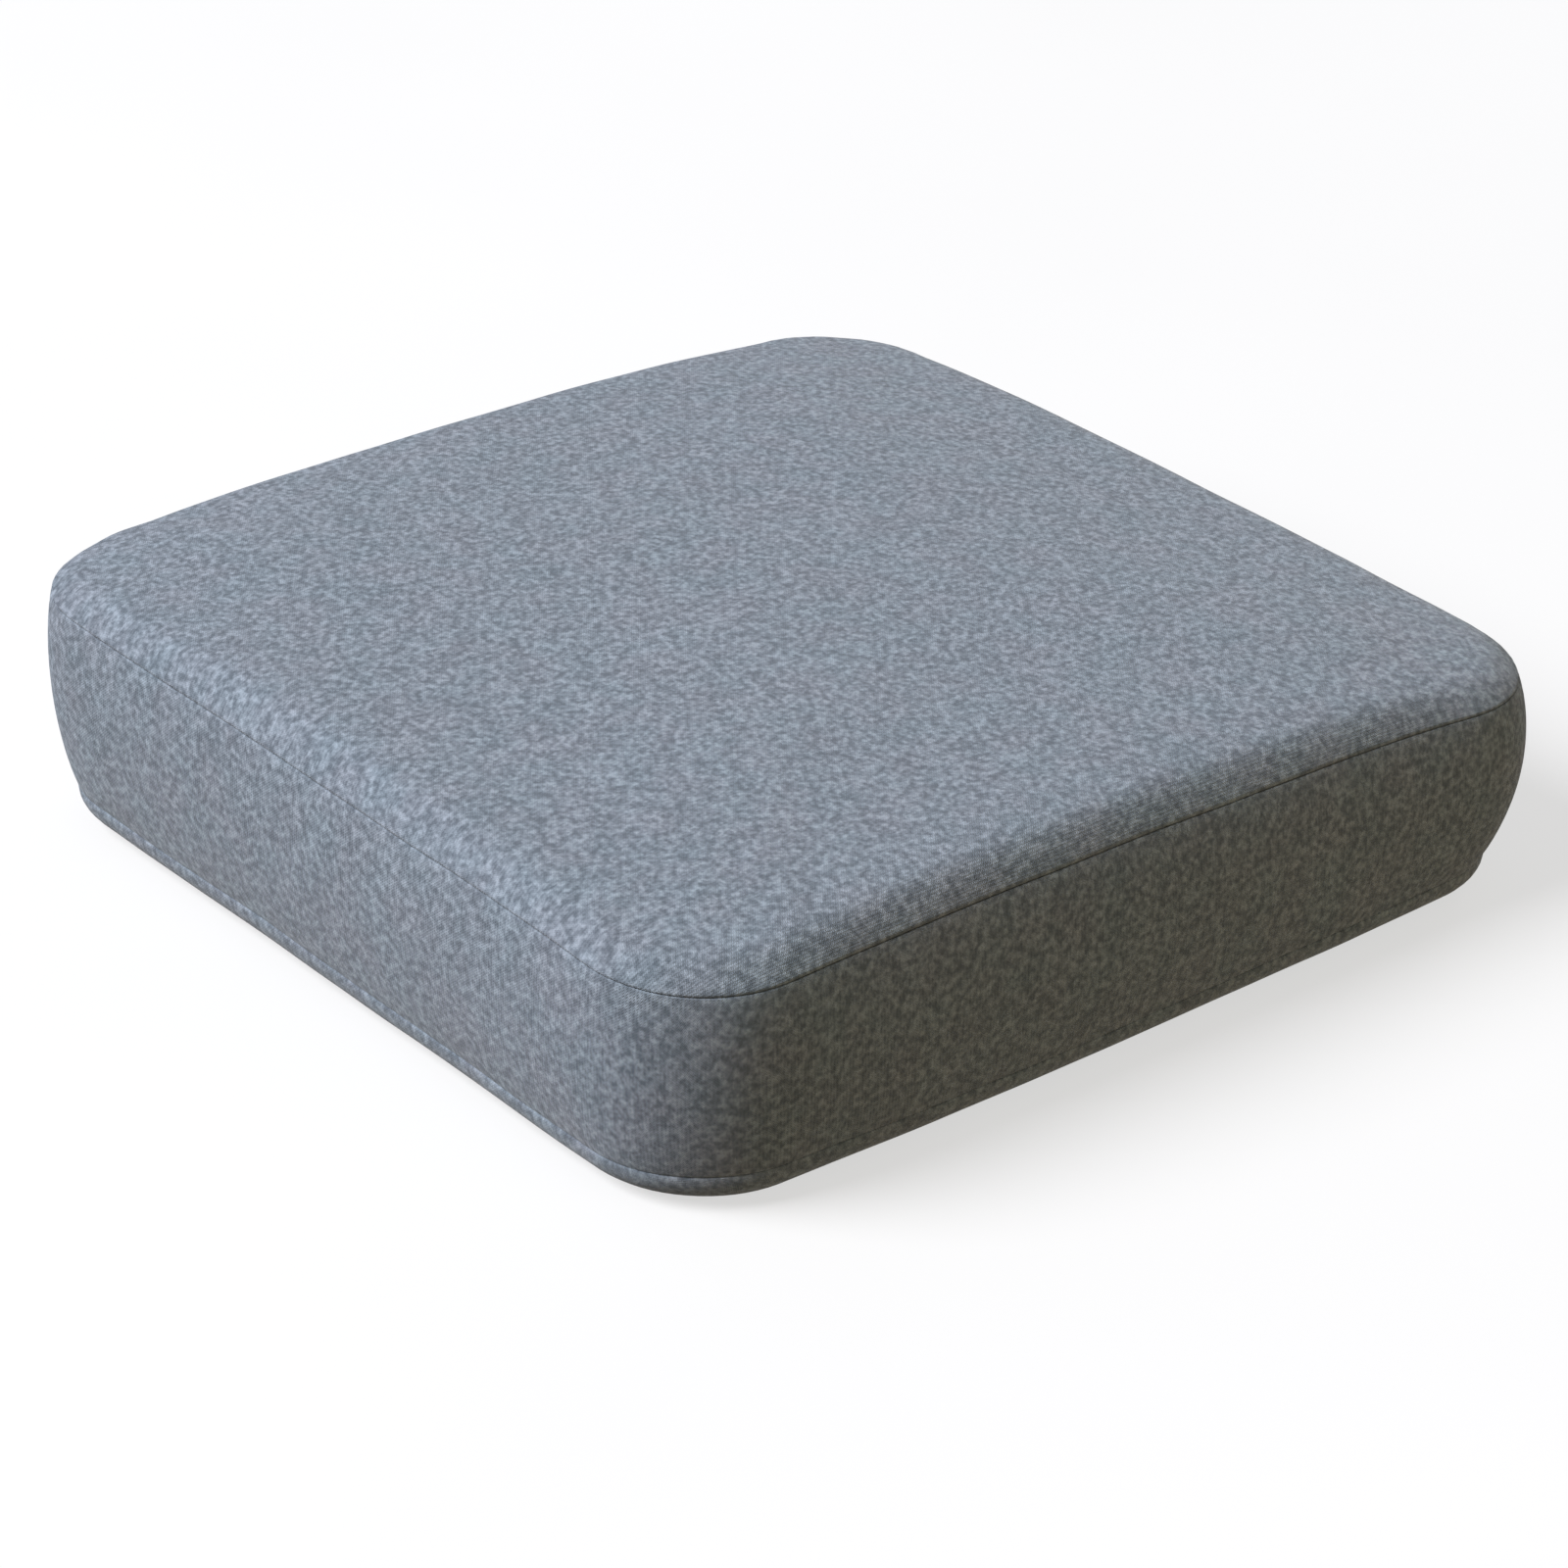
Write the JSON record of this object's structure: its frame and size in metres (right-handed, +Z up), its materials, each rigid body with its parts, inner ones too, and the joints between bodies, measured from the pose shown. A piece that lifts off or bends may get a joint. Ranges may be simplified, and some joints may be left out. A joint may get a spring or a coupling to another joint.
{
  "type": "kneeling pad",
  "caption": "Square boxed foam kneeling pad in a heather-grey knit cover with soft rounded edges, seamed side band, zipped rear side and grip-dotted underside.",
  "frame": {"origin": "centre of the underside, on the plane that the pad rests on", "axes": "+X towards the zip's closed end, +Y towards the rear side that holds the zip, +Z up out of the kneeling face"},
  "size_m": [0.4, 0.4039, 0.1],
  "materials": {
    "knit_fabric": "matte",
    "foam_firm": "matte",
    "foam_soft": "matte",
    "liner": "matte",
    "thread": "matte",
    "zip_tape": "matte",
    "zip_coil": "satin",
    "zip_metal": "satin",
    "label": "satin",
    "grip_rubber": "matte"
  },
  "bodies": {
    "pad": {"foam_base": "foam_firm", "foam_comfort_layer": "foam_soft", "foam_liner": "liner", "top_panel": "knit_fabric", "side_band": "knit_fabric", "bottom_panel": "knit_fabric", "rear_placket_upper": "knit_fabric", "rear_placket_lower": "knit_fabric", "top_seam_thread": "thread", "bottom_seam_thread": "thread", "placket_end_threads": "thread", "zip_tape_upper": "zip_tape", "zip_tape_lower": "zip_tape", "zip_teeth_upper": "zip_coil", "zip_teeth_lower": "zip_coil", "zip_topstitch_upper": "thread", "zip_topstitch_lower": "thread", "zip_end_bartacks": "thread", "care_label": "label", "grip_dots": "grip_rubber"},
    "slider": {"zip_slider": "zip_metal"},
    "pull_tab": {"zip_pull_tab": "zip_metal"}
  },
  "joints": [
    {"name": "zip_slide", "type": "slide", "parent": "pad", "child": "slider", "axis": [1, 0, 0], "range_m": [-0.276, 0]},
    {"name": "tab_hinge", "type": "hinge", "parent": "slider", "child": "pull_tab", "pos_m": [0.138, 0.2017, 0.05], "axis": [0, 0, -1], "range_deg": [0, 180]}
  ]
}
